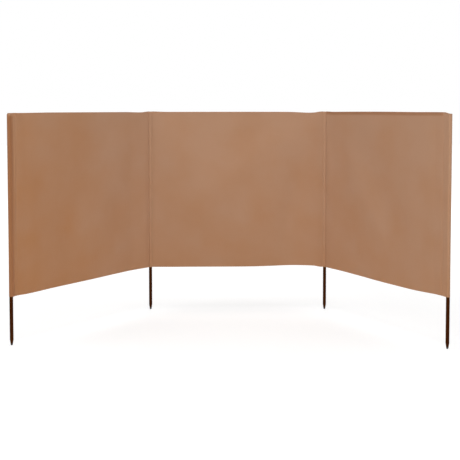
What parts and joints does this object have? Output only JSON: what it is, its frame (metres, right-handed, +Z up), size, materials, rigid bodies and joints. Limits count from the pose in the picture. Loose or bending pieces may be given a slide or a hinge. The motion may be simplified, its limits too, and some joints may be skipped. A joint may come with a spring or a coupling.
{
  "type": "beach windbreak",
  "caption": "Free-standing cloth wind screen in bays, with tube poles in sewn sleeves and tapered ground points; its wings fold about the inner poles.",
  "frame": {"origin": "centre of the blunt flat end of the left inner pole's ground point", "axes": "+X along the middle bay toward the right inner pole, +Y away from the sheltered side, +Z up the poles"},
  "size_m": [2.8383, 1.1882, 1.514],
  "materials": {
    "cloth": "plain woven polyester, taupe",
    "pole": "dark brown powder coat",
    "tip": "black moulded plug"
  },
  "bodies": {
    "centre": {"middle_panel": "cloth", "middle_top_hem": "cloth", "middle_bottom_hem": "cloth", "left_inner_sleeve": "cloth", "left_inner_pole": "pole", "left_inner_tip": "tip", "right_inner_sleeve": "cloth", "right_inner_pole": "pole", "right_inner_tip": "tip"},
    "left_wing": {"left_panel": "cloth", "left_top_hem": "cloth", "left_bottom_hem": "cloth", "left_end_sleeve": "cloth", "left_end_pole": "pole", "left_end_tip": "tip"},
    "right_wing": {"right_panel": "cloth", "right_top_hem": "cloth", "right_bottom_hem": "cloth", "right_end_sleeve": "cloth", "right_end_pole": "pole", "right_end_tip": "tip"}
  },
  "joints": [
    {"name": "left_wing_fold", "type": "hinge", "parent": "centre", "child": "left_wing", "pos_m": [0, 0, 0], "axis": [0, 0, 1], "range_deg": [-142.3, 107.7]},
    {"name": "right_wing_fold", "type": "hinge", "parent": "centre", "child": "right_wing", "pos_m": [1.333, 0, 0], "axis": [0, 0, 1], "range_deg": [-29.8, 220.2]}
  ]
}
